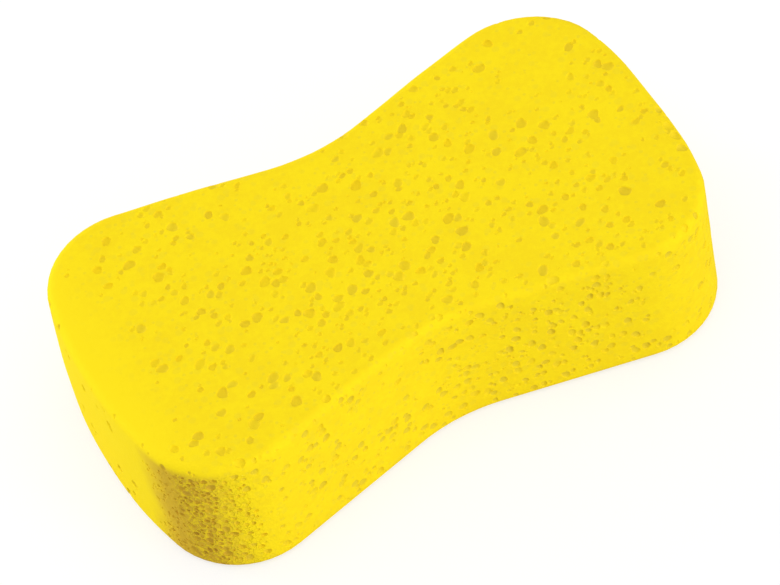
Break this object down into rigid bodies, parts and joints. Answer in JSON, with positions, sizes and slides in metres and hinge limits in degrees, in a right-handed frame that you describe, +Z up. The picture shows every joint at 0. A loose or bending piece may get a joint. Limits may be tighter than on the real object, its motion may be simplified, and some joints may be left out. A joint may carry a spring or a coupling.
{
  "type": "cleaning sponge",
  "caption": "Waisted hourglass block of open-celled foam for washing and wiping, with bowed ends, broad round corners and softly rounded edges.",
  "frame": {"origin": "centre of the broad face that the sponge lies on", "axes": "+X along the length, +Y across the width, +Z up through the thickness"},
  "size_m": [0.203, 0.114, 0.051],
  "materials": {
    "yellow_foam": "matte"
  },
  "bodies": {
    "root": {"sponge": "yellow_foam"}
  },
  "joints": []
}
